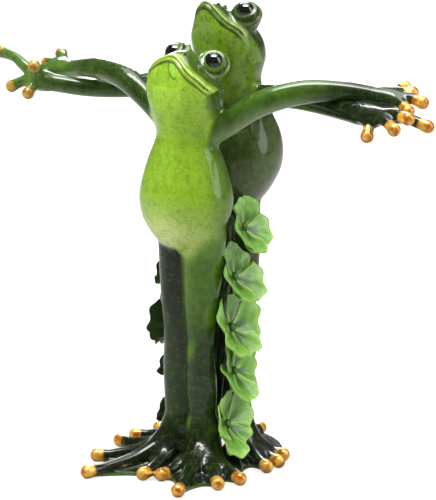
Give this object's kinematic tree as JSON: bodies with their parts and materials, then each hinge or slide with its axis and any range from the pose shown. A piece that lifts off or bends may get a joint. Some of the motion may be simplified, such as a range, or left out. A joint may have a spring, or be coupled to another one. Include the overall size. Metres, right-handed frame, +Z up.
{
  "type": "frog figurine",
  "caption": "Free-standing glossy resin ornament of upright frogs one behind the other, arms spread wide, with gilded finger and toe tips and blossom strings between the legs.",
  "frame": {"origin": "on the floor under the middle of the ornament", "axes": "+Z up, the frogs look towards -Y, their left arms reach towards +X"},
  "size_m": [0.226, 0.1076, 0.2105],
  "materials": {
    "front_green": "lacquered lime-green resin, mottled, dark green on the legs",
    "rear_green": "lacquered olive-green resin, mottled",
    "arm_green": "lacquered dark green resin, gilded finger tips",
    "foot_green": "lacquered near-black green resin, gilded toe tips",
    "blossom_green": "satin apple-green paint, darker towards the middle",
    "stem_green": "lacquered dark green",
    "eye_black": "polished black bead",
    "dowel_steel": "plain cut steel pin, hidden in the glue joints"
  },
  "bodies": {
    "root": {"front_body": "front_green", "front_head": "front_green", "front_left_ankle_dowel": "dowel_steel", "front_left_arm": "arm_green", "front_left_eye": "eye_black", "front_left_foot": "foot_green", "front_left_shoulder_dowel": "dowel_steel", "front_neck_dowel": "dowel_steel", "front_right_ankle_dowel": "dowel_steel", "front_right_arm": "arm_green", "front_right_eye": "eye_black", "front_right_foot": "foot_green", "front_right_shoulder_dowel": "dowel_steel", "left_flower_1": "blossom_green", "left_flower_2": "blossom_green", "left_flower_3": "blossom_green", "left_flower_4": "blossom_green", "left_flower_5": "blossom_green", "left_stem": "stem_green", "rear_body": "rear_green", "rear_head": "rear_green", "rear_left_ankle_dowel": "dowel_steel", "rear_left_arm": "arm_green", "rear_left_eye": "eye_black", "rear_left_foot": "foot_green", "rear_left_shoulder_dowel": "dowel_steel", "rear_neck_dowel": "dowel_steel", "rear_right_ankle_dowel": "dowel_steel", "rear_right_arm": "arm_green", "rear_right_eye": "eye_black", "rear_right_foot": "foot_green", "rear_right_shoulder_dowel": "dowel_steel", "right_flower_1": "blossom_green", "right_flower_2": "blossom_green", "right_flower_3": "blossom_green", "right_flower_4": "blossom_green", "right_flower_5": "blossom_green", "right_stem": "stem_green"}
  },
  "joints": []
}
